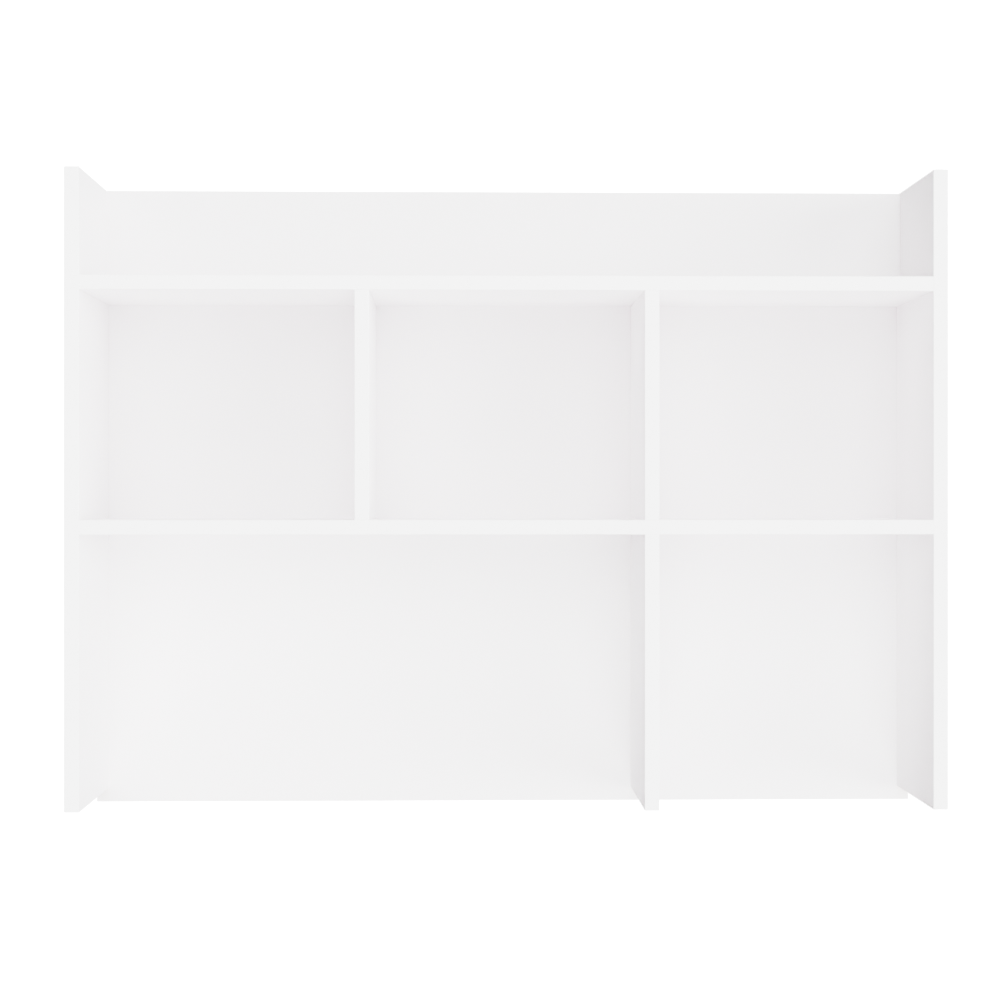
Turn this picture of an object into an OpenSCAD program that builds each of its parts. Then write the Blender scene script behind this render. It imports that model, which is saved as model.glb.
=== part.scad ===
// Desk hutch: a laminated chipboard case that stands on the back of a desk.
// Two sides carry two shelves and a top rail. Two dividers split the upper row into three cubbies,
// and one divider splits the lower row, which has no bottom. A thin back panel is nailed on behind
// and hangs a little below the sides, behind the desk top.
// The origin is on the desk top, at its rear edge, midway along the hutch.
// +X is to the right, +Y to the back and +Z up; the case's front edges are at y = -side_d.

/* [Overall] */
// Width over the outer faces of the two sides
hutch_w = 1100; // [900:1:1300]
// Height of the sides above the desk top
side_h = 800; // [780:1:900]
// Depth of the sides, with the edging on their front edges
side_d = 200; // [180:1:300]

/* [Boards] */
// Thickness of every laminated board
board_t = 18; // [18:1:22]
// Thickness of the edging glued to the edges that show
band_t = 1; // [0.4:0.1:2]
// Thickness of the hardboard back panel
back_t = 3; // [2:0.5:5]
// Width of the boards' rear edges left showing round the back panel
back_reveal = 3; // [1:0.5:5]
// How far the back panel hangs below the sides, behind the desk top
back_drop = 18; // [5:1:40]

/* [Layout] */
// Height of the middle shelf's underside above the desk top
mid_z = 344; // [250:1:400]
// Height of the top shelf's underside above the desk top
top_z = 648.4; // [600:0.1:660]
// From the left side's outer face to the left divider
left_div_at = 359; // [200:1:400]
// From the left side's outer face to the right divider and the lower divider
right_div_at = 720.5; // [550:0.5:800]
// How far the top rail stops below the tops of the sides
rail_gap = 1; // [0:0.5:5]

/* [Dowels and cams] */
// Diameter of a beech dowel
dowel_d = 8; // [6:0.5:8]
// Length of a beech dowel
dowel_l = 30; // [26:1:32]
// Diameter of a cam
cam_d = 15; // [12:1:15]
// From a board's end to the middle of the cams let into it
cam_set = 34; // [24:1:40]

/* [Screws and nails] */
// Diameter of a divider screw's smooth shank
screw_d = 7; // [5:0.5:7]
// Length of a divider screw
screw_l = 50; // [40:1:60]
// Diameter of a back panel nail
nail_d = 1.8; // [1.4:0.1:2.2]
// Length of a back panel nail under its head
nail_l = 25; // [18:1:28]
// Nails along each shelf's rear edge
shelf_nails = 8; // [8:1:12]
// Widest distance between nails up a side or a divider
nail_gap = 150; // [60:5:200]

/* [Hidden] */
$fn = 48;

laminate_white = [0.95, 0.95, 0.94];
edging_white = [0.97, 0.97, 0.96];
zinc = [0.72, 0.73, 0.74];
beech = [0.82, 0.66, 0.46];

// Faces and heights that several boards share
half_w = hutch_w / 2;
in_w = half_w - board_t;
mid_top = mid_z + board_t;
top_top = top_z + board_t;
rail_top = side_h - rail_gap;
left_div_x = left_div_at - half_w;
right_div_x = right_div_at - half_w;
back_top = top_top - back_reveal;
half_t = board_t / 2;

// Clearance round every pin, screw and nail, on the radius
fit = 0.05;

// Places of the fasteners along a board's depth
hold_ys = [-0.25 * side_d, -0.75 * side_d];
dowel_y = -0.5 * side_d;
foot_pin_ys = [-0.2 * side_d, -0.8 * side_d];
lower_screw_ys = [-0.35 * side_d, -0.65 * side_d];

// Dowels: depth in the board whose face is drilled, and the chamfer on each end
dowel_in_face = 11;
dowel_room = 1;
dowel_chamfer = 1;

// Cams: height, depth of their hole, and how far they lie under the board's face
cam_h = 13;
cam_hole = 13.8;
cam_sunk = 0.4;
cam_slot_w = 1.8;
cam_slot_l = 8;
cam_slot_h = 2.5;
cam_fit = 0.1;

// Cam bolts: thread in the side, flange against it, shank, neck and head
bolt_thread_l = 10.5;
bolt_thread_r = 2.5;
bolt_flange_r = 3.5;
bolt_flange_l = 3;
bolt_shank_r = 2.6;
bolt_neck_r = 1.9;
bolt_head_r = 3.4;
bolt_hole_r = 4;

// Divider screws: head, shank, threaded part and hexagon socket
screw_head_r = 5;
screw_head_h = 3;
screw_core_r = 2.5;
screw_point_l = 4;
socket_r = 2.3;
socket_h = 3;

// Cover caps
cap_h = 1.2;
cap_rim_h = 0.5;
cam_cap_r = 9;
screw_cap_r = 6.5;

// Nails: head and point
nail_head_r = 2.2;
nail_head_h = 0.7;
nail_point_l = 2;
nail_inset = 40;
side_nail_z = 25;

// Numbers evenly spaced from a to b, no further apart than gap
function spread(a, b, gap) = let(n = ceil((b - a) / gap)) [for (i = [0:n]) a + (b - a) * i / n];

// Points on both sides' inner faces, each with the direction that runs into the shelf or rail
function end_joints(yz) = [
    for (s = [-1, 1], p = yz) [[s * in_w, p[0], p[1]], s < 0 ? "right" : "left"]
];

// The middle of each cam's mouth, on a face of a board held by those joints
function cam_mouths(yz, way) = [for (s = [-1, 1], p = yz) [[s * (in_w - cam_set), p[0], p[1]], way]];

top_joints = end_joints([for (y = hold_ys) [y, top_z + half_t]]);
mid_joints = end_joints([for (y = hold_ys) [y, mid_z + half_t]]);
rail_bolt_z = top_top + 0.6 * (rail_top - top_top);
rail_dowel_z = top_top + 0.22 * (rail_top - top_top);
rail_joints = end_joints([[-half_t, rail_bolt_z]]);

top_cams = cam_mouths([for (y = hold_ys) [y, top_top]], "down");
mid_cams = cam_mouths([for (y = hold_ys) [y, mid_z]], "up");
rail_cams = cam_mouths([[0, rail_bolt_z]], "front");

shelf_pins = end_joints([[dowel_y, top_z + half_t], [dowel_y, mid_z + half_t]]);
shelf_nail_xs = [
    for (i = [0:shelf_nails - 1])
        -in_w + nail_inset + (2 * in_w - 2 * nail_inset) * i / (shelf_nails - 1)
];
rail_foot_pins = [
    for (i = [1, 3, 5]) [[(shelf_nail_xs[i] + shelf_nail_xs[i + 1]) / 2, -half_t, top_top], "up"]
];
rail_pins = concat(end_joints([[-half_t, rail_dowel_z]]), rail_foot_pins);
foot_pins = [for (y = foot_pin_ys) [[right_div_x + half_t, y, mid_top], "up"]];

top_screws = [
    for (x = [left_div_x, right_div_x], y = hold_ys) [[x + half_t, y, top_top], "down"]
];
foot_screws = [for (y = hold_ys) [[left_div_x + half_t, y, mid_z], "up"]];
lower_screws = [for (y = lower_screw_ys) [[right_div_x + half_t, y, mid_top], "down"]];

nail_points = concat(
    [for (x = shelf_nail_xs, z = [mid_z, top_z]) [x, z + half_t]],
    [for (s = [-1, 1], z = spread(side_nail_z, top_z - side_nail_z, nail_gap)) [s * (half_w - half_t), z]],
    [
        for (x = [left_div_x, right_div_x], z = spread(mid_top + nail_inset, top_z - nail_inset, nail_gap))
            [x + half_t, z]
    ],
    [for (z = spread(nail_inset, mid_z - nail_inset, nail_gap)) [right_div_x + half_t, z]]
);
nail_spots = [for (p = nail_points) [[p[0], back_t, p[1]], "front"]];

// Moves children drawn along +Z to a spot, [point, way], and points them that way
module at(spot) {
    way = spot[1];
    turn = way == "right" ? [0, 90, 0]
         : way == "left" ? [0, -90, 0]
         : way == "front" ? [90, 0, 0]
         : way == "down" ? [180, 0, 0]
         : [0, 0, 0];
    translate(spot[0]) rotate(turn) children();
}

module at_each(spots) for (spot = spots) at(spot) children();

module block(low, high) translate(low) cube(high - low);

// Two bars crossed at right angles, from z_low to z_high
module cross(l, w, z_low, z_high)
    for (turn = [0, 90])
        rotate([0, 0, turn])
            block([-l / 2, -w / 2, z_low], [l / 2, w / 2, z_high]);

// A dowel across a joint at z = 0: the short part is in the drilled face, the long part in the end
module dowel() {
    r = dowel_d / 2;
    translate([0, 0, -dowel_in_face])
        rotate_extrude()
            polygon([
                [0, 0], [r - dowel_chamfer, 0], [r, dowel_chamfer],
                [r, dowel_l - dowel_chamfer], [r - dowel_chamfer, dowel_l], [0, dowel_l]
            ]);
}

module dowel_hole()
    translate([0, 0, -dowel_in_face - dowel_room])
        cylinder(r = dowel_d / 2 + fit, h = dowel_l + 2 * dowel_room);

// A cam seen from its mouth at z = 0: a disc with a cross slot and a pocket for the bolt's head,
// which comes in along +X or -X
module cam() {
    difference() {
        translate([0, 0, cam_sunk]) cylinder(d = cam_d, h = cam_h);
        cross(cam_slot_l, cam_slot_w, 0, cam_sunk + cam_slot_h);
        translate([-cam_d, 0, half_t])
            rotate([0, 90, 0])
                cylinder(r = bolt_head_r + 0.4, h = 2 * cam_d);
    }
}

module cam_drilling() translate([0, 0, -1]) cylinder(d = cam_d + 2 * cam_fit, h = cam_hole + 1);

// A cam bolt across a joint at z = 0, with its head in the middle of the cam
module cam_bolt() {
    head_l = 4;
    neck_l = 2;
    head_at = cam_set - head_l / 2;
    rotate_extrude()
        polygon([
            [0, -bolt_thread_l], [bolt_thread_r, -bolt_thread_l], [bolt_thread_r, 0],
            [bolt_flange_r, 0], [bolt_flange_r, bolt_flange_l], [bolt_shank_r, bolt_flange_l],
            [bolt_shank_r, head_at - neck_l], [bolt_neck_r, head_at - neck_l], [bolt_neck_r, head_at],
            [bolt_head_r, head_at], [bolt_head_r, head_at + head_l], [0, head_at + head_l]
        ]);
}

module cam_bolt_hole() {
    translate([0, 0, -bolt_thread_l - dowel_room])
        cylinder(r = bolt_thread_r + fit, h = bolt_thread_l + dowel_room + 1);
    cylinder(r = bolt_hole_r, h = cam_set);
}

// A divider screw driven along +Z from z = 0; grow widens it into its own hole
module screw_shape(grow, point_l) {
    r = screw_d / 2 + grow;
    core = screw_core_r + grow;
    shank_l = board_t + 2;
    rotate_extrude()
        polygon([
            [0, 0], [screw_head_r + grow, 0], [r, screw_head_h], [r, shank_l], [core, shank_l],
            [core, screw_l - point_l], [grow + 0.3, screw_l + grow], [0, screw_l + grow]
        ]);
}

module divider_screw()
    difference() {
        screw_shape(0, screw_point_l);
        translate([0, 0, -1]) cylinder(r = socket_r, h = socket_h + 1, $fn = 6);
    }

module divider_screw_hole() {
    screw_shape(fit, screw_point_l);
    translate([0, 0, -1]) cylinder(r = screw_head_r + fit, h = 1);
}

// A low domed cap lying on a board's face, which is at z = 0, with the dome towards -Z
module cap_dome(r)
    rotate_extrude()
        polygon([
            [0, 0], [r, 0], [r, -cap_rim_h], [0.93 * r, -0.8 * cap_h],
            [0.75 * r, -0.95 * cap_h], [0, -cap_h]
        ]);

// A nail driven along +Z, its head lying on the panel's face at z = 0
module nail()
    rotate_extrude()
        polygon([
            [0, -nail_head_h], [0.8 * nail_head_r, -nail_head_h], [nail_head_r, -0.6 * nail_head_h],
            [nail_head_r, 0], [nail_d / 2, 0], [nail_d / 2, nail_l - nail_point_l], [0, nail_l]
        ]);

module nail_hole() translate([0, 0, -1]) cylinder(r = nail_d / 2 + fit, h = nail_l + 1.5);

// Takes the holes of every dowel, cam, bolt, screw and nail out of a board
module drilled() {
    difference() {
        children();
        at_each(concat(shelf_pins, rail_pins, foot_pins)) dowel_hole();
        at_each(concat(top_joints, mid_joints, rail_joints)) cam_bolt_hole();
        at_each(concat(top_cams, mid_cams, rail_cams)) cam_drilling();
        at_each(concat(top_screws, foot_screws, lower_screws)) divider_screw_hole();
        at_each(nail_spots) nail_hole();
    }
}

// Boards, each without the edging on its seen edges

module side(x)
    color(laminate_white)
        drilled()
            block([x, -side_d + band_t, 0], [x + board_t, 0, side_h - band_t]);

module left_side() side(-half_w);

module right_side() side(in_w);

module shelf(z)
    color(laminate_white)
        drilled()
            block([-in_w, -side_d + band_t, z], [in_w, 0, z + board_t]);

module top_shelf() shelf(top_z);

module middle_shelf() shelf(mid_z);

module top_rail()
    color(laminate_white)
        drilled()
            block([-in_w, -board_t, top_top], [in_w, 0, rail_top - band_t]);

module divider(x, low, high)
    color(laminate_white)
        drilled()
            block([x, -side_d + band_t, low], [x + board_t, 0, high]);

module left_divider() divider(left_div_x, mid_top, top_z);

module right_divider() divider(right_div_x, mid_top, top_z);

module lower_divider() divider(right_div_x, 0, mid_z);

module back_panel()
    color(laminate_white)
        drilled()
            block([-half_w + back_reveal, 0, -back_drop], [half_w - back_reveal, back_t, back_top]);

// Edging strips

module front_edging(x_low, x_high, z_low, z_high)
    color(edging_white)
        block([x_low, -side_d, z_low], [x_high, -side_d + band_t, z_high]);

module left_side_front_edging() front_edging(-half_w, -in_w, 0, side_h);

module right_side_front_edging() front_edging(in_w, half_w, 0, side_h);

module side_top_edging(x)
    color(edging_white)
        block([x, -side_d + band_t, side_h - band_t], [x + board_t, 0, side_h]);

module left_side_top_edging() side_top_edging(-half_w);

module right_side_top_edging() side_top_edging(in_w);

module top_shelf_edging() front_edging(-in_w, in_w, top_z, top_top);

module middle_shelf_edging() front_edging(-in_w, in_w, mid_z, mid_top);

module top_rail_edging()
    color(edging_white)
        block([-in_w, -board_t, rail_top - band_t], [in_w, 0, rail_top]);

module left_divider_edging() front_edging(left_div_x, left_div_x + board_t, mid_top, top_z);

module right_divider_edging() front_edging(right_div_x, right_div_x + board_t, mid_top, top_z);

module lower_divider_edging() front_edging(right_div_x, right_div_x + board_t, 0, mid_z);

// Fasteners

module top_shelf_cams() color(zinc) at_each(top_cams) cam();

module middle_shelf_cams() color(zinc) at_each(mid_cams) cam();

module top_rail_cams() color(zinc) at_each(rail_cams) cam();

module top_shelf_cam_bolts() color(zinc) at_each(top_joints) cam_bolt();

module middle_shelf_cam_bolts() color(zinc) at_each(mid_joints) cam_bolt();

module top_rail_cam_bolts() color(zinc) at_each(rail_joints) cam_bolt();

module shelf_dowels() color(beech) at_each(shelf_pins) dowel();

module top_rail_dowels() color(beech) at_each(rail_pins) dowel();

module right_divider_dowels() color(beech) at_each(foot_pins) dowel();

module upper_divider_screws() color(zinc) at_each(top_screws) divider_screw();

module left_divider_foot_screws() color(zinc) at_each(foot_screws) divider_screw();

module lower_divider_screws() color(zinc) at_each(lower_screws) divider_screw();

// Caps over the cams in the top shelf, each held by a cross nub in the cam's slot
module cam_caps()
    color(edging_white)
        at_each(top_cams) {
            nub_w = cam_slot_w - 4 * fit;
            nub_l = cam_slot_l - 4 * fit;
            cap_dome(cam_cap_r);
            cross(nub_l, nub_w, -fit, cam_sunk + 1.5);
        }

// Caps over the screws in the top shelf, each held by a six-sided nub in the screw's socket
module screw_caps()
    color(edging_white)
        at_each(top_screws) {
            cap_dome(screw_cap_r);
            translate([0, 0, -fit]) cylinder(r = socket_r - 2 * fit, h = socket_h - 0.5, $fn = 6);
        }

module back_nails() color(zinc) at_each(nail_spots) nail();

left_side();
right_side();
top_shelf();
middle_shelf();
top_rail();
left_divider();
right_divider();
lower_divider();
back_panel();
left_side_front_edging();
right_side_front_edging();
left_side_top_edging();
right_side_top_edging();
top_shelf_edging();
middle_shelf_edging();
top_rail_edging();
left_divider_edging();
right_divider_edging();
lower_divider_edging();
top_shelf_cams();
middle_shelf_cams();
top_rail_cams();
top_shelf_cam_bolts();
middle_shelf_cam_bolts();
top_rail_cam_bolts();
shelf_dowels();
top_rail_dowels();
right_divider_dowels();
upper_divider_screws();
left_divider_foot_screws();
lower_divider_screws();
cam_caps();
screw_caps();
back_nails();
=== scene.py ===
import math

import bmesh
import bpy
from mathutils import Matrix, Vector


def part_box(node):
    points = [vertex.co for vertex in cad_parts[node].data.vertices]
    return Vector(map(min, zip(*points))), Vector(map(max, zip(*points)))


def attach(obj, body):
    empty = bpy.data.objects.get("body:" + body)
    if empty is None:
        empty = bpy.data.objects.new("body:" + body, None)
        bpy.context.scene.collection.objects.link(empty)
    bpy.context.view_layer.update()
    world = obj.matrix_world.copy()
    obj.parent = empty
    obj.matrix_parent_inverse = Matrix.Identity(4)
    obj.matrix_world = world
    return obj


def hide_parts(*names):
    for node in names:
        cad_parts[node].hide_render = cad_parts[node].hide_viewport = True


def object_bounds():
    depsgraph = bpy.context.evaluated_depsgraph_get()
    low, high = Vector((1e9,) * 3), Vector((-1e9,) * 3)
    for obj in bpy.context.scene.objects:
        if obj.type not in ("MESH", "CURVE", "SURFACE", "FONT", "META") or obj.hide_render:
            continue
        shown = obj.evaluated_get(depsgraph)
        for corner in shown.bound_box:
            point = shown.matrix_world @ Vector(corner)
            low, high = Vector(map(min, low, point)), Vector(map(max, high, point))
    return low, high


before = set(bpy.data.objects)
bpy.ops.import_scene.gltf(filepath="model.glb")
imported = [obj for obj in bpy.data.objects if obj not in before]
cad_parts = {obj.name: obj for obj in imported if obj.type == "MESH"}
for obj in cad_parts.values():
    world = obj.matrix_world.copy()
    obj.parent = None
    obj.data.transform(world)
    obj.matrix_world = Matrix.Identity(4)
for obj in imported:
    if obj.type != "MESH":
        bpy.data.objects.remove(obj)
cad_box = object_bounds()


# ---- Sides ----
# The two uprights that carry every other board: 18 mm chipboard faced on both sides with white melamine
# paper, sawn to size and drilled for cams, dowels and screws. They stand on the desk on their raw sawn feet.

class Strand:
    """A value, colour or shape on its way through a node tree. Arithmetic on values adds Math nodes."""

    def __init__(self, tree, socket=None):
        self.tree = tree
        self.socket = socket

    def node(self, kind, settings=None, inputs=None, out=0):
        """Adds any node: its settings first, then the values or strands of its sockets."""
        made = self.tree.nodes.new(kind)
        for name, value in (settings or {}).items():
            if name == "stops":
                lay_stops(made.color_ramp.elements, value)
            else:
                setattr(made, name, value)
        for name, value in (inputs or {}).items():
            socket = pick(made.inputs, name)
            if isinstance(value, Strand):
                self.tree.links.new(value.socket, socket)
            else:
                socket.default_value = value
        return Strand(self.tree, pick(made.outputs, out) if made.outputs else None)

    def other(self, out):
        """Another output of the node that this strand comes from."""
        return Strand(self.tree, pick(self.socket.node.outputs, out))

    def math(self, operation, first, second=0.0):
        return self.node("ShaderNodeMath", {"operation": operation}, {0: first, 1: second})

    def vector_math(self, operation, first, second):
        return self.node("ShaderNodeVectorMath", {"operation": operation}, {0: first, 1: second})

    def blend(self, share, first, second):
        """The colour that goes from first to second as share goes from 0 to 1."""
        return self.node(
            "ShaderNodeMix", {"data_type": "RGBA"}, {"Factor": share, "A": first, "B": second}, out="Result"
        )

    def rise(self, start, end):
        """0 up to start and 1 from end on, with a smooth slope between them."""
        return self.node(
            "ShaderNodeMapRange",
            {"interpolation_type": "SMOOTHSTEP"},
            {"Value": self, "From Min": start, "From Max": end},
        )

    def size(self):
        return self.math("ABSOLUTE", self)

    def least(self, other):
        return self.math("MINIMUM", self, other)

    def __add__(self, other):
        return self.math("ADD", self, other)

    def __radd__(self, other):
        return self.math("ADD", other, self)

    def __sub__(self, other):
        return self.math("SUBTRACT", self, other)

    def __rsub__(self, other):
        return self.math("SUBTRACT", other, self)

    def __mul__(self, other):
        return self.math("MULTIPLY", self, other)

    def __rmul__(self, other):
        return self.math("MULTIPLY", other, self)


def pick(sockets, key):
    """A socket by its number, or by its name among those the node's settings leave in use."""
    if isinstance(key, int):
        return sockets[key]
    return next(s for s in sockets if s.enabled and s.name == key)


def lay_stops(elements, stops):
    """Gives a ramp its stops, each a place and a colour."""
    while len(elements) < len(stops):
        elements.new(1.0)
    for element, (place, colour) in zip(elements, stops):
        element.position = place
        element.color = colour


def blank_finish(name):
    """A new finish with nothing in it yet, and a strand to add its nodes with."""
    finish = bpy.data.materials.new(name)
    finish.use_nodes = True
    finish.node_tree.nodes.clear()
    return finish, Strand(finish.node_tree)


def coat(strand, sockets):
    """Ends a finish with its shader."""
    shader = strand.node("ShaderNodeBsdfPrincipled", {}, sockets)
    strand.node("ShaderNodeOutputMaterial", {}, {"Surface": shader})


def noise(strand, place, per_metre, detail=2.0, roughness=0.5):
    """A cloudy value from 0 to 1, with about per_metre clouds to the metre."""
    return strand.node(
        "ShaderNodeTexNoise",
        {},
        {"Vector": place, "Scale": per_metre, "Detail": detail, "Roughness": roughness},
    )


def bump(strand, height, distance):
    """A surface raised by up to distance, in metres, where height is 1."""
    return strand.node("ShaderNodeBump", {}, {"Height": height, "Distance": distance, "Strength": 1.0})


def thin_axis(low, high):
    """The axis that a board's thickness runs along."""
    return min(range(3), key=lambda axis: high[axis] - low[axis])


def from_middle(sheet, place, low, high):
    """How far a spot on a board is from its middle, along each axis."""
    offset = sheet.vector_math("SUBTRACT", place, (low + high) / 2)
    apart = sheet.node("ShaderNodeSeparateXYZ", {}, {"Vector": offset})
    return [apart.other(axis).size() for axis in "XYZ"]


WHITE_PAPER = (0.902, 0.887, 0.894, 1.0)
SCUFFED_PAPER = (0.84, 0.83, 0.82, 1.0)
SCUFFS_START = 0.0005
SCUFFS_END = 0.006


def melamine(name, low, high):
    """White melamine paper: a faint pearl grain, slow clouds in its gloss, light scuffs by the arrises."""
    finish, sheet = blank_finish(name)
    place = sheet.node("ShaderNodeTexCoord", out="Object")
    half, off_middle = (high - low) / 2, from_middle(sheet, place, low, high)
    broad = [axis for axis in range(3) if axis != thin_axis(low, high)]
    first, second = (half[axis] - off_middle[axis] for axis in broad)
    near_arris = 1.0 - first.least(second).rise(SCUFFS_START, SCUFFS_END)
    pearl = noise(sheet, place, per_metre=1400.0)
    clouds = noise(sheet, place, per_metre=14.0, detail=4.0)
    rub = noise(sheet, place, per_metre=160.0, detail=3.0).rise(0.52, 0.72) * near_arris
    coat(sheet, {
        "Base Color": sheet.blend(rub * 0.5, WHITE_PAPER, SCUFFED_PAPER),
        "Roughness": 0.36 + clouds * 0.12 + rub * 0.2,
        "Normal": bump(sheet, pearl, distance=0.00002),
        "IOR": 1.45,
        "Specular IOR Level": 0.35,
    })
    return finish


FLAKE_SHADES = [
    (0.0, (0.20, 0.135, 0.082, 1.0)),
    (0.2, (0.40, 0.290, 0.188, 1.0)),
    (0.6, (0.56, 0.435, 0.300, 1.0)),
    (1.0, (0.72, 0.595, 0.440, 1.0)),
]
# Painted shade: the near-black brown of the chipboard's voids stands for the shadow down in each small pit.
PAINTED_VOID_SHADE = (0.07, 0.04, 0.02, 1.0)
FLAKE_FLATNESS = 3.2
FLAKE_BEND = 0.004
FLAKE_TEAR = 0.0022


def chipboard(name, low, high):
    """A sawn chipboard edge: fine dust by the faces, coarse flakes and small voids in the middle, with
    painted shade in the voids.
    """
    finish, sheet = blank_finish(name)
    place = sheet.node("ShaderNodeTexCoord", out="Object")
    half, thin = (high - low) / 2, thin_axis(low, high)
    across = from_middle(sheet, place, low, high)[thin] * (1.0 / half[thin])
    squeeze = [FLAKE_FLATNESS if axis == thin else 1.0 for axis in range(3)]
    flat = sheet.vector_math("MULTIPLY", place, squeeze)
    bends = noise(sheet, flat, per_metre=120.0).other("Color")
    tears = noise(sheet, flat, per_metre=900.0, detail=3.0).other("Color")
    bent = sheet.vector_math("MULTIPLY", bends, [FLAKE_BEND] * 3)
    torn = sheet.vector_math("MULTIPLY", tears, [FLAKE_TEAR] * 3)
    ragged = sheet.vector_math("ADD", flat, sheet.vector_math("ADD", bent, torn))
    flakes = sheet.node("ShaderNodeTexVoronoi", {}, {"Vector": ragged, "Scale": 230.0})
    dust = sheet.node("ShaderNodeTexVoronoi", {}, {"Vector": flat, "Scale": 900.0})
    shades = {"stops": FLAKE_SHADES}
    coarse = sheet.node("ShaderNodeValToRGB", shades, {"Fac": flakes.other("Color")})
    fine = sheet.node("ShaderNodeValToRGB", shades, {"Fac": 0.35 + dust.other("Color") * 0.4})
    outer = across.rise(0.55, 0.75)
    # The voids are dented by the bump and also painted near-black, which is painted shade inside the pits.
    voids = noise(sheet, flat, per_metre=260.0, detail=3.0).rise(0.62, 0.70) * (1.0 - outer)
    wood = sheet.blend(voids * 0.8, sheet.blend(outer, coarse, fine), PAINTED_VOID_SHADE)
    paper = across.rise(0.978, 0.985)
    height = flakes.other("Distance") * 0.5 + dust.other("Distance") * 0.2 - voids
    coat(sheet, {
        "Base Color": sheet.blend(paper, wood, WHITE_PAPER),
        "Roughness": 0.9 - paper * 0.4,
        "Normal": bump(sheet, height, distance=0.0003),
        "Specular IOR Level": 0.3,
    })
    return finish


WELD = 0.000002
ARRIS = 0.00015
SAME_PLANE = math.radians(0.5)
SHARP_EDGE = math.radians(50.0)
SQUARE_ON = 0.5


def solid_copy(node):
    """A CAD node's mesh as one closed skin, ready to be worked on."""
    skin = bmesh.new()
    skin.from_mesh(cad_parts[node].data)
    bmesh.ops.remove_doubles(skin, verts=skin.verts, dist=WELD)
    bmesh.ops.dissolve_limit(
        skin, angle_limit=SAME_PLANE, verts=skin.verts, edges=skin.edges, delimit={"NORMAL"}
    )
    return skin


def round_over(skin, edges, radius, clamp):
    """Rounds these edges; clamp keeps the rounding clear of edges nearby."""
    bmesh.ops.bevel(
        skin, geom=edges, offset=radius, offset_type="OFFSET", segments=2, profile=0.5,
        affect="EDGES", clamp_overlap=clamp,
    )


def ease_arrises(skin, low, high):
    """Takes the sharpness off the twelve outer edges of a sawn board."""
    def walls(vert):
        planes = [(axis, end[axis]) for end in (low, high) for axis in range(3)]
        return {(axis, level) for axis, level in planes if abs(vert.co[axis] - level) < WELD}

    arrises = [e for e in skin.edges if len(walls(e.verts[0]) & walls(e.verts[1])) >= 2]
    round_over(skin, arrises, ARRIS, clamp=False)


def into_piece(skin, name, finishes, nodes):
    """Turns a finished skin into a piece that stands for these CAD nodes and rides on the hutch."""
    mesh = bpy.data.meshes.new(name)
    skin.to_mesh(mesh)
    skin.free()
    return mesh_piece(mesh, name, finishes, nodes)


def plain_mesh(thing):
    """What an object looks like once its modifiers have worked, as a mesh of its own."""
    bpy.context.view_layer.update()
    return bpy.data.meshes.new_from_object(thing.evaluated_get(bpy.context.evaluated_depsgraph_get()))


def mesh_piece(mesh, name, finishes, nodes):
    """A piece made of this mesh, shaded so that broad faces stay flat and eased corners look round."""
    while len(mesh.materials) < len(finishes):
        mesh.materials.append(None)
    for number, finish in enumerate(finishes):
        mesh.materials[number] = finish
    mesh.shade_smooth()
    mesh.set_sharp_from_angle(angle=SHARP_EDGE)
    piece = bpy.data.objects.new(name, mesh)
    bpy.context.scene.collection.objects.link(piece)
    piece.modifiers.new("flatten", "WEIGHTED_NORMAL").keep_sharp = True
    flat = plain_mesh(piece)
    piece.modifiers.clear()
    piece.data = flat
    piece.data.name = name
    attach(piece, "root")
    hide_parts(*nodes)
    return piece


def board(node):
    """A laminated board with its broad faces papered and its sawn edges and drillings raw."""
    low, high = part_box(node)
    skin = solid_copy(node)
    ease_arrises(skin, low, high)
    thin = thin_axis(low, high)
    middle = (low[thin] + high[thin]) / 2
    reach = (high[thin] - low[thin]) / 2 - 2 * ARRIS
    for face in skin.faces:
        off_middle = abs(face.calc_center_median()[thin] - middle)
        papered = abs(face.normal[thin]) > SQUARE_ON and off_middle > reach
        face.material_index = 0 if papered else 1
    finishes = [melamine(node + "_melamine", low, high), chipboard(node + "_chipboard", low, high)]
    return into_piece(skin, node + "_board", finishes, [node])


board("left_side")
board("right_side")


# ---- Shelves and top rail ----
# The top and middle shelves run between the sides, and the rail stands on the top shelf's rear edge.
# They are cut from the same faced chipboard, and cams pull them tight against the sides.

board("top_shelf")
board("middle_shelf")
board("top_rail")


# ---- Dividers ----
# Two dividers split the upper row into three cubbies and a third stands on the desk under the right one.
# Same board again; the screws and dowels that hold them are hidden inside the shelves.

board("left_divider")
board("right_divider")
board("lower_divider")


# ---- Edging ----
# 1 mm white plastic strip, glued along every edge that shows and trimmed flush with the board's faces.
# The trimmer leaves its two outer corners rounded. One strip runs along each board, cut square at its ends.

EDGING_ROUND = 0.0008
CORNER_STEPS = 5
EDGING_WHITE = (0.902, 0.904, 0.903, 1.0)


def edging_finish():
    """Satin white plastic, a little wavy along its length and nicked here and there."""
    finish, sheet = blank_finish("white_edging")
    place = sheet.node("ShaderNodeTexCoord", out="Object")
    ripple = noise(sheet, place, per_metre=60.0, detail=3.0)
    grain = noise(sheet, place, per_metre=2200.0)
    nicks = noise(sheet, place, per_metre=240.0, detail=4.0).rise(0.66, 0.74)
    coat(sheet, {
        "Base Color": sheet.blend(nicks * 0.25, EDGING_WHITE, SCUFFED_PAPER),
        "Roughness": 0.32 + ripple * 0.14 + nicks * 0.15,
        "Normal": bump(sheet, grain, distance=0.000012),
        "IOR": 1.5,
        "Specular IOR Level": 0.35,
    })
    return finish


def new_tree(name, inputs):
    """An empty geometry tree with these named inputs, each a name and its kind of value."""
    tree = bpy.data.node_groups.new(name, "GeometryNodeTree")
    tree.interface.new_socket("Geometry", in_out="OUTPUT", socket_type="NodeSocketGeometry")
    for title, kind in inputs:
        tree.interface.new_socket(title, in_out="INPUT", socket_type=kind)
    return tree


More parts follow.
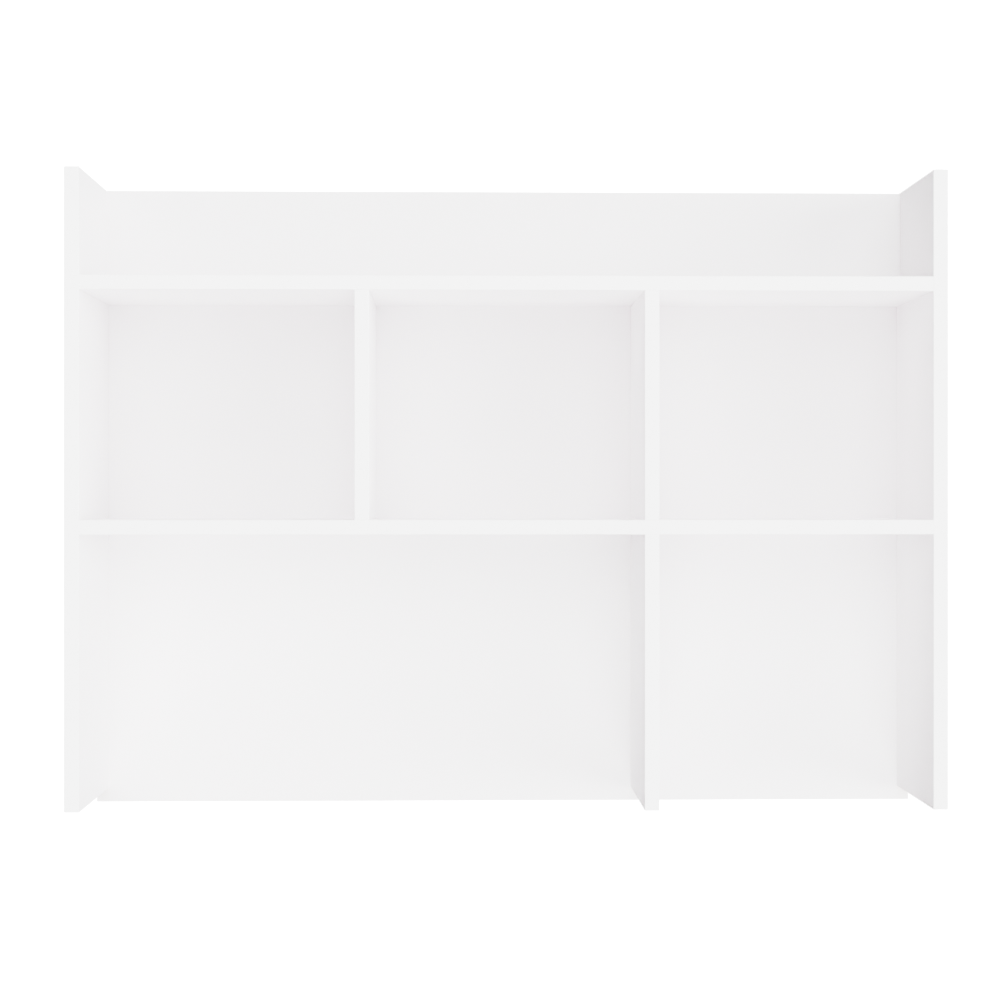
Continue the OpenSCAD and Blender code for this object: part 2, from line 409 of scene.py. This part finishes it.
def end_tree(strand, finish):
    """The tree's last three nodes: instances made real, their finish, and the way out."""
    real = strand.node("GeometryNodeRealizeInstances", {}, {"Geometry": strand})
    dressed = strand.node("GeometryNodeSetMaterial", {}, {"Geometry": real, "Material": finish})
    strand.node("NodeGroupOutput", {}, {0: dressed})


def grow(tree, values, start=None):
    """Runs a geometry tree with these values for its named inputs and gives back the plain mesh."""
    stock = bpy.data.objects.new("stock", start or bpy.data.meshes.new("stock"))
    bpy.context.scene.collection.objects.link(stock)
    modifier = stock.modifiers.new("grow", "NODES")
    modifier.node_group = tree
    names = {item.name: item.identifier for item in tree.interface.items_tree if item.in_out == "INPUT"}
    for title, value in values.items():
        modifier[names[title]] = value
    mesh = plain_mesh(stock)
    bpy.data.objects.remove(stock)
    return mesh


def edging_tree(finish):
    """A strip swept from Start to End: Width across the board, Thickness the way Outward points."""
    tree = new_tree("edging", [
        ("Start", "NodeSocketVector"), ("End", "NodeSocketVector"), ("Outward", "NodeSocketVector"),
        ("Width", "NodeSocketFloat"), ("Thickness", "NodeSocketFloat"), ("Corner", "NodeSocketFloat"),
    ])
    given = Strand(tree).node("NodeGroupInput", out="Start")
    line = given.node("GeometryNodeCurvePrimitiveLine", {}, {"Start": given, "End": given.other("End")})
    facing = given.node(
        "GeometryNodeSetCurveNormal", {"mode": "FREE"}, {"Curve": line, "Normal": given.other("Outward")}
    )
    profile = given.node(
        "GeometryNodeCurvePrimitiveQuadrilateral",
        {},
        {"Width": given.other("Thickness"), "Height": given.other("Width")},
    )
    where = given.node("GeometryNodeInputPosition")
    apart = given.node("ShaderNodeSeparateXYZ", {}, {"Vector": where})
    outer = given.math("GREATER_THAN", apart, 0.0)
    rounded = given.node(
        "GeometryNodeFilletCurve",
        {"mode": "POLY"},
        {"Curve": profile, "Count": CORNER_STEPS, "Radius": outer * given.other("Corner")},
    )
    strip = given.node(
        "GeometryNodeCurveToMesh", {}, {"Curve": facing, "Profile Curve": rounded, "Fill Caps": True}
    )
    end_tree(strip, finish)
    return tree


white_edging = edging_finish()
strip_tree = edging_tree(white_edging)
FRONTWARD, UPWARD = Vector((0, -1, 0)), Vector((0, 0, 1))


def long_axis(low, high):
    """The axis that a strip or a dowel runs along."""
    return max(range(3), key=lambda axis: high[axis] - low[axis])


def edge_strip(node, outward):
    """The strip of edging that fills a CAD edging's box, its rounded corners facing outward."""
    low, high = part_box(node)
    spans, run = high - low, long_axis(low, high)
    thickness = abs(spans.dot(outward))
    start, end = (low + high) / 2, (low + high) / 2
    start[run], end[run] = low[run], high[run]
    width = sum(spans) - spans[run] - thickness
    mesh = grow(strip_tree, {
        "Start": start, "End": end, "Outward": outward,
        "Width": width, "Thickness": thickness, "Corner": EDGING_ROUND,
    })
    return mesh_piece(mesh, node.replace("edging", "strip"), [white_edging], [node])


for node in sorted(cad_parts):
    if node.endswith("_edging"):
        on_top = node.endswith("_top_edging") or node == "top_rail_edging"
        edge_strip(node, UPWARD if on_top else FRONTWARD)


# ---- Back panel ----
# One sheet of 3 mm hardboard nailed on behind the whole case, its front lacquered white and its rear and
# edges left as bare brown fibre. It hangs a little below the sides, behind the desk top.

PANEL_WHITE = (0.893, 0.878, 0.885, 1.0)


def lacquer_finish():
    """Sprayed white lacquer, with a trace of orange peel."""
    finish, sheet = blank_finish("white_lacquer")
    place = sheet.node("ShaderNodeTexCoord", out="Object")
    clouds = noise(sheet, place, per_metre=11.0, detail=4.0)
    orange_peel = noise(sheet, place, per_metre=500.0, detail=3.0)
    coat(sheet, {
        "Base Color": sheet.blend(clouds * 0.3, PANEL_WHITE, WHITE_PAPER),
        "Roughness": 0.42 + clouds * 0.16,
        "Normal": bump(sheet, orange_peel, distance=0.00002),
        "IOR": 1.45,
        "Specular IOR Level": 0.35,
    })
    return finish


FIBRE_SHADES = [
    (0.3, (0.175, 0.108, 0.062, 1.0)),
    (0.5, (0.245, 0.155, 0.092, 1.0)),
    (0.7, (0.345, 0.230, 0.145, 1.0)),
]
FLECK_BROWN = (0.09, 0.05, 0.03, 1.0)
FIBRE_STRETCH = [1.0, 1.0, 2.5]


def fibre_finish():
    """Bare pressed fibre: short fibres that lie along the sheet, with dark flecks among them."""
    finish, sheet = blank_finish("bare_hardboard")
    place = sheet.node("ShaderNodeTexCoord", out="Object")
    lengthwise = sheet.vector_math("MULTIPLY", place, FIBRE_STRETCH)
    clouds = noise(sheet, place, per_metre=9.0, detail=5.0, roughness=0.6)
    fibres = noise(sheet, lengthwise, per_metre=420.0, detail=4.0, roughness=0.65)
    flecks = noise(sheet, place, per_metre=900.0).rise(0.64, 0.72)
    shade = {"Fac": clouds * 0.3 + fibres * 0.7}
    brown = sheet.node("ShaderNodeValToRGB", {"stops": FIBRE_SHADES}, shade)
    coat(sheet, {
        "Base Color": sheet.blend(flecks * 0.5, brown, FLECK_BROWN),
        "Roughness": 0.62 + fibres * 0.25,
        "Normal": bump(sheet, fibres, distance=0.00008),
        "Specular IOR Level": 0.3,
    })
    return finish


def back_sheet():
    """The panel, lacquered on the face that looks forward and bare on all the others."""
    low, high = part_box("back_panel")
    skin = solid_copy("back_panel")
    ease_arrises(skin, low, high)
    for face in skin.faces:
        face.material_index = 0 if face.normal.y < -SQUARE_ON else 1
    return into_piece(
        skin, "back_sheet", [lacquer_finish(), fibre_finish()], ["back_panel"]
    )


back_sheet()


# ---- Back nails ----
# Plated wire nails driven through the hardboard into the boards behind it, by hand: each stands a shade
# off square, and its flat head lies on the panel.

DULL_PLATE = (0.50, 0.50, 0.49, 1.0)
BRIGHT_PLATE = (0.70, 0.70, 0.69, 1.0)


def plated_finish():
    """Bright zinc plating, bloomed with handling and finely marked by the tool."""
    finish, sheet = blank_finish("zinc_plate")
    place = sheet.node("ShaderNodeTexCoord", out="Object")
    bloom = noise(sheet, place, per_metre=420.0, detail=4.0)
    marks = noise(sheet, place, per_metre=2600.0)
    coat(sheet, {
        "Base Color": sheet.blend(bloom, DULL_PLATE, BRIGHT_PLATE),
        "Metallic": 1.0,
        "Roughness": 0.26 + bloom * 0.22,
        "Normal": bump(sheet, marks, distance=0.00002),
    })
    return finish


def solids(node):
    """The boxes of a CAD node's separate solids, each its lowest and its highest corner."""
    skin = solid_copy(node)
    left, found = set(skin.verts), []
    while left:
        lump = [left.pop()]
        for vert in lump:
            near = {edge.other_vert(vert) for edge in vert.link_edges} & left
            left -= near
            lump.extend(near)
        places = list(zip(*(vert.co for vert in lump)))
        found.append((Vector(map(min, places)), Vector(map(max, places))))
    skin.free()
    return sorted(found, key=lambda box: tuple(box[0]))


def turned(name, profile, sides, flute=0.0):
    """A closed round shape standing on its axis: (radius, height) pairs from its top to its foot, turned.
    Every second side is sunk by flute."""
    skin = bmesh.new()
    rings = []
    for radius, height in profile:
        ring = []
        for side in range(sides if radius else 1):
            angle = 2 * math.pi * side / sides
            reach = max(radius - flute * (side % 2), 0.0)
            ring.append(skin.verts.new((reach * math.cos(angle), reach * math.sin(angle), height)))
        rings.append(ring)
    for upper, lower in zip(rings, rings[1:]):
        for side in range(sides):
            after = (side + 1) % sides
            corners = [upper[side % len(upper)], lower[side % len(lower)],
                       lower[after % len(lower)], upper[after % len(upper)]]
            skin.faces.new(list(dict.fromkeys(corners)))
    mesh = bpy.data.meshes.new(name)
    skin.to_mesh(mesh)
    skin.free()
    return mesh


def setting_tree():
    """Sets Shape at every point of the geometry, standing along the point's own facing.
    Each is spun by chance and leans by up to Lean, in radians."""
    tree = new_tree("setting", [
        ("Geometry", "NodeSocketGeometry"), ("Shape", "NodeSocketObject"), ("Lean", "NodeSocketFloat"),
        ("Seed", "NodeSocketInt"), ("Finish", "NodeSocketMaterial"),
    ])
    given = Strand(tree).node("NodeGroupInput", out="Geometry")
    shape = given.node("GeometryNodeObjectInfo", {}, {"Object": given.other("Shape")}, out="Geometry")
    facing = given.node(
        "GeometryNodeInputNamedAttribute", {"data_type": "FLOAT_VECTOR"}, {"Name": "facing"}, out="Attribute"
    )
    stood = given.node("FunctionNodeAlignRotationToVector", {"axis": "Z"}, {"Vector": facing})
    chance = {"Max": 2 * math.pi, "Seed": given.other("Seed")}
    spin = given.node("FunctionNodeRandomValue", {"data_type": "FLOAT"}, chance, out="Value")
    chance = {"Min": -1.0, "Max": 1.0, "Seed": given.other("Seed") + 1.0}
    lean = given.node("FunctionNodeRandomValue", {"data_type": "FLOAT"}, chance, out="Value")
    for axis, angle in (((0.0, 0.0, 1.0), spin), ((1.0, 0.0, 0.0), lean * given.other("Lean"))):
        turn = given.node("FunctionNodeAxisAngleToRotation", {}, {"Axis": axis, "Angle": angle})
        stood = given.node(
            "FunctionNodeRotateRotation", {"rotation_space": "LOCAL"}, {"Rotation": stood, "Rotate By": turn}
        )
    placed = given.node(
        "GeometryNodeInstanceOnPoints", {}, {"Points": given, "Instance": shape, "Rotation": stood}
    )
    end_tree(placed, given.other("Finish"))
    return tree


set_shapes = setting_tree()


def set_out(shape, spots, lean, seed, finish):
    """The mesh of a shape set at every spot, each a place and the way it faces."""
    points = bpy.data.meshes.new("points")
    points.from_pydata([place for place, facing in spots], [], [])
    facings = points.attributes.new("facing", "FLOAT_VECTOR", "POINT")
    facings.data.foreach_set("vector", [value for place, facing in spots for value in facing])
    pattern = bpy.data.objects.new("pattern", shape)
    bpy.context.scene.collection.objects.link(pattern)
    mesh = grow(set_shapes, {"Shape": pattern, "Lean": lean, "Seed": seed, "Finish": finish}, points)
    bpy.data.objects.remove(pattern)
    return mesh


zinc_plate = plated_finish()
NAIL_LEAN = math.radians(2.5)
NAIL_SHANK = 0.0009
NAIL_POINT = 0.002
NAIL_SIDES = 20
NAIL_SEED = 7
# The head's outline, each point a share of its radius and of its height. A leaning head stays below the
# height it has room for, so it is made a little lower.
HEAD_OUTLINE = [(0.0, 1.0), (0.5, 0.97), (0.85, 0.86), (0.98, 0.62), (0.98, 0.25), (0.9, 0.0)]
HEAD_ROOM = 0.93


def back_nails():
    """All the nails, each head on the panel's rear face."""
    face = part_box("back_panel")[1].y
    nails = solids("back_nails")
    low, high = nails[0]
    head = (high.x - low.x) / 2
    rise = (high.y - face) * HEAD_ROOM
    foot = low.y - face
    outline = [(head * out, rise * up) for out, up in HEAD_OUTLINE]
    outline += [(NAIL_SHANK, 0.0), (NAIL_SHANK, foot + NAIL_POINT), (0.0, foot)]
    shape = turned("nail", outline, NAIL_SIDES)
    spots = [(((low.x + high.x) / 2, face, (low.z + high.z) / 2), (0, 1, 0)) for low, high in nails]
    mesh = set_out(shape, spots, NAIL_LEAN, NAIL_SEED, zinc_plate)
    mesh_piece(mesh, "panel_nails", [zinc_plate], ["back_nails"])


back_nails()


# ---- Cams ----
# Die-cast zinc cams, 15 mm across, dropped into their drillings with a cross slot facing out. A half turn
# of the screwdriver draws the bolt's head into the pocket and pulls the board tight.

SOFT_EDGE = 0.0002
METAL_CORNER = math.radians(40.0)
DARK_ZINC = (0.40, 0.41, 0.42, 1.0)
PALE_ZINC = (0.58, 0.59, 0.60, 1.0)


def cast_finish():
    """Raw die-cast zinc: a dull pebbled skin, patchy grey, with a pore here and there."""
    finish, sheet = blank_finish("cast_zinc")
    place = sheet.node("ShaderNodeTexCoord", out="Object")
    pebbles = noise(sheet, place, per_metre=900.0, detail=4.0, roughness=0.6)
    stains = noise(sheet, place, per_metre=260.0, detail=3.0)
    pores = noise(sheet, place, per_metre=3000.0, detail=1.0).rise(0.68, 0.74)
    coat(sheet, {
        "Base Color": sheet.blend(stains, DARK_ZINC, PALE_ZINC),
        "Metallic": 1.0,
        "Roughness": 0.38 + pebbles * 0.25,
        "Normal": bump(sheet, pebbles - pores, distance=0.00004),
    })
    return finish


def ease_metal(skin):
    """Softens every sharp corner of a metal fitting."""
    sharp = [edge for edge in skin.edges if edge.is_manifold and edge.calc_face_angle() > METAL_CORNER]
    round_over(skin, sharp, SOFT_EDGE, clamp=True)


cast_zinc = cast_finish()
for board_name in ("top_shelf", "middle_shelf", "top_rail"):
    skin = solid_copy(board_name + "_cams")
    ease_metal(skin)
    into_piece(skin, board_name + "_cast_cams", [cast_zinc], [board_name + "_cams"])


# ---- Cam bolts ----
# Plated steel bolts screwed into the sides by a coarse thread, up to a flange; the other end runs through
# the shelf's end into the cam. Hidden once the hutch is together.

STEPS_A_TURN = 20
THREAD_SEED = 3


def thread_tree():
    """A coarse thread ridge that climbs the Z axis from its foot: Turns of Pitch, on a core of Radius."""
    tree = new_tree("thread", [
        ("Turns", "NodeSocketFloat"), ("Pitch", "NodeSocketFloat"), ("Radius", "NodeSocketFloat"),
        ("Ridge", "NodeSocketFloat"), ("Finish", "NodeSocketMaterial"),
    ])
    given = Strand(tree).node("NodeGroupInput", out="Turns")
    spiral = given.node("GeometryNodeCurveSpiral", {}, {
        "Resolution": STEPS_A_TURN, "Rotations": given, "Start Radius": given.other("Radius"),
        "End Radius": given.other("Radius"), "Height": given * given.other("Pitch"),
    })
    ridge = given.node(
        "GeometryNodeCurvePrimitiveCircle", {}, {"Resolution": 3, "Radius": given.other("Ridge")}
    )
    swept = given.node(
        "GeometryNodeCurveToMesh", {}, {"Curve": spiral, "Profile Curve": ridge, "Fill Caps": True}
    )
    end_tree(swept, given.other("Finish"))
    return tree


thread = thread_tree()


def threaded_piece(node, name, ends, length, core, ridge, pitch):
    """A node's bolts or screws with their edges eased and a thread run along each, from its given end."""
    turns = length / pitch - 1.0
    coil = grow(thread, {
        "Turns": turns, "Pitch": pitch, "Radius": core, "Ridge": ridge, "Finish": zinc_plate,
    })
    threads = set_out(coil, ends, 0.0, THREAD_SEED, zinc_plate)
    skin = solid_copy(node)
    ease_metal(skin)
    skin.from_mesh(threads)
    into_piece(skin, name, [zinc_plate], [node])


BOLT_THREAD = 0.0105
BOLT_CORE = 0.0022
BOLT_RIDGE = 0.0005
BOLT_PITCH = 0.0018


def bolt_ends(node):
    """The foot of each bolt's thread, deep in the side, and the way the bolt runs from there."""
    ends = []
    for low, high in solids(node):
        middle = (low + high) / 2
        outer = low if middle.x < 0 else high
        way = Vector((1, 0, 0) if middle.x < 0 else (-1, 0, 0))
        foot = Vector((outer.x, middle.y, middle.z)) + way * BOLT_PITCH / 2
        ends.append((foot, way))
    return ends


for board_name in ("top_shelf", "middle_shelf", "top_rail"):
    node = board_name + "_cam_bolts"
    threaded_piece(
        node, board_name + "_pull_bolts", bolt_ends(node), BOLT_THREAD, BOLT_CORE, BOLT_RIDGE, BOLT_PITCH
    )


# ---- Dowels ----
# Fluted beech dowels, 8 by 30 mm with chamfered ends, glued into blind holes across the joints. The flutes
# let the glue and air out as they are tapped home.

DOWEL_FLUTE = 0.00025
DOWEL_SIDES = 48
DOWEL_CHAMFER = 0.25
DARK_BEECH = (0.56, 0.37, 0.21, 1.0)
PALE_BEECH = (0.71, 0.51, 0.32, 1.0)
RAY_BROWN = (0.36, 0.21, 0.11, 1.0)


def beech_finish():
    """Pinkish beech, from darker to paler in slow patches, with the short dark flecks of its rays."""
    finish, sheet = blank_finish("beech")
    place = sheet.node("ShaderNodeTexCoord", out="Object")
    rays = noise(sheet, place, per_metre=900.0, detail=3.0)
    tone = noise(sheet, place, per_metre=60.0)
    wood = sheet.blend(tone, DARK_BEECH, PALE_BEECH)
    coat(sheet, {
        "Base Color": sheet.blend(rays.rise(0.6, 0.7) * 0.4, wood, RAY_BROWN),
        "Roughness": 0.55 + rays * 0.2,
        "Normal": bump(sheet, rays, distance=0.00004),
        "Specular IOR Level": 0.3,
    })
    return finish


beech = beech_finish()


def dowel_piece(node, name, seed):
    """A node's dowels, all of one size, each along the way its own box is longest."""
    spots = []
    for low, high in solids(node):
        spans, run = high - low, long_axis(low, high)
        way = Vector((0, 0, 0))
        way[run] = 1.0
        spots.append(((low + high) / 2, way))
        radius, half = (sum(spans) - spans[run]) / 4, spans[run] / 2
    chamfer = radius * DOWEL_CHAMFER
    shape = turned("dowel", [
        (0.0, half), (radius - chamfer, half), (radius, half - chamfer), (radius, 0.0),
        (radius, chamfer - half), (radius - chamfer, -half), (0.0, -half),
    ], DOWEL_SIDES, DOWEL_FLUTE)
    mesh = set_out(shape, spots, 0.0, seed, beech)
    mesh_piece(mesh, name, [beech], [node])


dowel_piece("shelf_dowels", "shelf_end_dowels", seed=11)
dowel_piece("top_rail_dowels", "rail_dowels", seed=12)
dowel_piece("right_divider_dowels", "divider_foot_dowels", seed=13)


# ---- Divider screws ----
# Countersunk steel screws, 7 by 50 mm with a hexagon socket, driven through the shelves into the ends of
# the dividers. Their coarse thread cuts its own way into the chipboard.

SCREW_THREAD = 0.026
SCREW_CORE = 0.0023
SCREW_RIDGE = 0.0010
SCREW_PITCH = 0.003


def screw_ends(node, way):
    """The start of each screw's thread by its point, and the way back towards its head."""
    ends = []
    for low, high in solids(node):
        middle = (low + high) / 2
        point = low.z + SCREW_PITCH if way.z > 0 else high.z - SCREW_PITCH
        ends.append((Vector((middle.x, middle.y, point)), way))
    return ends


for node, name, way in (
    ("upper_divider_screws", "shelf_screws", UPWARD),
    ("left_divider_foot_screws", "left_foot_screws", -UPWARD),
    ("lower_divider_screws", "lower_head_screws", UPWARD),
):
    threaded_piece(node, name, screw_ends(node, way), SCREW_THREAD, SCREW_CORE, SCREW_RIDGE, SCREW_PITCH)


# ---- Cover caps ----
# Moulded white plastic caps, pressed into the cams and screws that would show in the top shelf: a low dome
# with a soft rim, held by a stub in the cam's slot or the screw's socket.

CAP_WHITE = (0.90, 0.90, 0.895, 1.0)
CAP_FLOW = (0.86, 0.86, 0.85, 1.0)


def cap_finish():
    """Moulded white plastic: a fine spark-eroded grain, and faint greyer clouds where it flowed."""
    finish, sheet = blank_finish("white_plastic")
    place = sheet.node("ShaderNodeTexCoord", out="Object")
    spark = noise(sheet, place, per_metre=1800.0)
    flow = noise(sheet, place, per_metre=120.0, detail=3.0)
    coat(sheet, {
        "Base Color": sheet.blend(flow * 0.3, CAP_WHITE, CAP_FLOW),
        "Roughness": 0.34 + flow * 0.12,
        "Normal": bump(sheet, spark, distance=0.00001),
        "IOR": 1.5,
    })
    return finish


white_plastic = cap_finish()
CAP_SIDES = 40
DOME_STEPS = 8
DOME_FALL = 0.45
# Each point a share: of the cap's radius and the dome's height for the rim, of the stub's radius and depth
# for the stub.
RIM_OUTLINE = [(0.975, 0.46), (1.0, 0.3), (0.99, 0.0)]
STUB_OUTLINE = [(1.0, 0.0), (1.0, 0.8), (0.7, 1.0), (0.0, 1.0)]


def cap_piece(node, name, stub, foot, seed):
    """A node's caps, on the top shelf's upper face, each with a stub of this radius down to its foot."""
    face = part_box("top_shelf")[1].z
    caps = solids(node)
    low, high = caps[0]
    radius, dome = (high.x - low.x) / 2, high.z - face
    shares = [step / DOME_STEPS for step in range(DOME_STEPS)]
    outline = [(radius * share, dome * (1.0 - DOME_FALL * share ** 4)) for share in shares]
    outline += [(radius * out, dome * up) for out, up in RIM_OUTLINE]
    outline += [(stub * out, foot * down) for out, down in STUB_OUTLINE]
    spots = [(((low.x + high.x) / 2, (low.y + high.y) / 2, face), (0, 0, 1)) for low, high in caps]
    mesh = set_out(turned("cap", outline, CAP_SIDES), spots, 0.0, seed, white_plastic)
    mesh_piece(mesh, name, [white_plastic], [node])


cap_piece("cam_caps", "cam_covers", stub=0.0008, foot=-0.0019, seed=21)
cap_piece("screw_caps", "screw_covers", stub=0.0018, foot=-0.0024, seed=22)


# ---- Studio ----
# A white tent of soft light, brightest overhead and behind, with six broad panels: two on the right, one on
# the left, one in front and two low in front that light the undersides. The floor is plain white.

# The strengths of -Y, +Z and the panels, and most of the print curve at the end, come from a separate
# program's least-squares fits and were then rounded. The other strengths and all directions are given one by
# one.
WHITE_LIGHT = (1.0, 1.0, 1.0, 1.0)
TENT = {"+X": 0.0, "-X": 0.05, "+Y": 0.48, "-Y": 0.34, "+Z": 0.54, "-Z": 0.02}
# Each panel's degrees round to the right from the front, its degrees up, and its strength, as the
# brightness that it gives a white wall.
PANELS = {
    "right": (75.0, 0.0, 0.27),
    "right_front": (50.0, 0.0, 0.13),
    "left_front": (-50.0, 0.0, 0.055),
    "front": (0.0, 25.0, 0.14),
    "low_front": (0.0, -50.0, 0.17),
    "foot": (0.0, -65.0, 0.125),
}
PANEL_SPREAD = math.radians(40.0)
PANEL_DISTANCE = 3.0
BACKDROP = 1.15
FLOOR_HALF = 30.0


def tent():
    """Light from all round, whose strength goes smoothly from one side's to the next."""
    world = bpy.data.worlds.new("tent")
    bpy.context.scene.world = world
    world.use_nodes = True
    world.node_tree.nodes.clear()
    air = Strand(world.node_tree)
    way = air.node("ShaderNodeTexCoord", out="Generated")
    apart = air.node("ShaderNodeSeparateXYZ", {}, {"Vector": way})
    light = 0.0
    for axis in "XYZ":
        along = apart.other(axis)
        plus = air.math("GREATER_THAN", along, 0.0)
        strength = TENT["-" + axis] + plus * (TENT["+" + axis] - TENT["-" + axis])
        light = along * along * strength + light
    seen = air.node("ShaderNodeLightPath", out="Is Camera Ray")
    lit = air.node("ShaderNodeBackground", {}, {"Color": WHITE_LIGHT, "Strength": light})
    backdrop = air.node("ShaderNodeBackground", {}, {"Color": WHITE_LIGHT, "Strength": BACKDROP})
    mixed = air.node("ShaderNodeMixShader", {}, {0: seen, 1: lit, 2: backdrop})
    air.node("ShaderNodeOutputWorld", {}, {"Surface": mixed})


def panel(name, round_to_right, up, strength):
    """A soft panel, so far off that its light comes from one direction all over the hutch."""
    lamp = bpy.data.lights.new(name, "SUN")
    lamp.energy = strength * math.pi
    lamp.angle = PANEL_SPREAD
    holder = bpy.data.objects.new(name, lamp)
    turn, lift = math.radians(round_to_right), math.radians(up)
    place = Vector((math.sin(turn) * math.cos(lift), -math.cos(turn) * math.cos(lift), math.sin(lift)))
    holder.rotation_euler = place.to_track_quat("Z", "Y").to_euler()
    holder.location = place * PANEL_DISTANCE
    bpy.context.scene.collection.objects.link(holder)


def floor():
    """A white floor that glows just enough to lose its shadows, as a lit sweep does."""
    finish, sheet = blank_finish("floor_white")
    glow = sheet.node("ShaderNodeEmission", {}, {"Color": WHITE_LIGHT, "Strength": BACKDROP})
    sheet.node("ShaderNodeOutputMaterial", {}, {"Surface": glow})
    ground = cad_box[0].z
    mesh = bpy.data.meshes.new("floor")
    corners = [(-1, -1), (1, -1), (1, 1), (-1, 1)]
    mesh.from_pydata([(x * FLOOR_HALF, y * FLOOR_HALF, ground) for x, y in corners], [], [range(4)])
    mesh.materials.append(finish)
    plane = bpy.data.objects.new("floor", mesh)
    bpy.context.scene.collection.objects.link(plane)
    plane.visible_diffuse = False
    plane.visible_glossy = False
    plane.visible_shadow = False


tent()
for name, (round_to_right, up, strength) in PANELS.items():
    panel(name, round_to_right, up, strength)
floor()

# ---- Camera ----
# It stands level, some two and a half metres in front of the back panel, at about half the hutch's height.
# It is a little left of the middle and turned about a degree to the right.

CAMERA_AT = (-0.0600, -2.5724, 0.3869)
CAMERA_LEVEL = math.radians(90.0)
CAMERA_TURN = math.radians(-1.203)
CAMERA_LENS = 68.66
CAMERA_SENSOR = 36.0

lens = bpy.data.cameras.new("camera")
lens.lens = CAMERA_LENS
lens.sensor_width = CAMERA_SENSOR
camera = bpy.data.objects.new("camera", lens)
camera.location = CAMERA_AT
camera.rotation_euler = (CAMERA_LEVEL, 0.0, CAMERA_TURN)
bpy.context.scene.collection.objects.link(camera)
bpy.context.scene.camera = camera

# The picture is printed light, as pictures of white goods are: whites are held apart only a little, and
# darker tones keep their depth. The curve mapping's last curve acts on red, green and blue alike.
PRINT_CURVE = (
    (0.08, 0.12), (0.16, 0.33), (0.28, 0.61), (0.36, 0.765), (0.44, 0.825), (0.52, 0.86), (0.64, 0.892),
    (0.77, 0.92),
)
ALL_COLOURS = 3
WHITE_BOUNCES = 12

printing = bpy.context.scene.view_settings
printing.view_transform = "Standard"
printing.use_curve_mapping = True
tones = printing.curve_mapping.curves[ALL_COLOURS]
for light, printed in PRINT_CURVE:
    tones.points.new(light, printed)
for point in tones.points:
    point.handle_type = "AUTO_CLAMPED"
printing.curve_mapping.update()
bpy.context.scene.cycles.diffuse_bounces = WHITE_BOUNCES
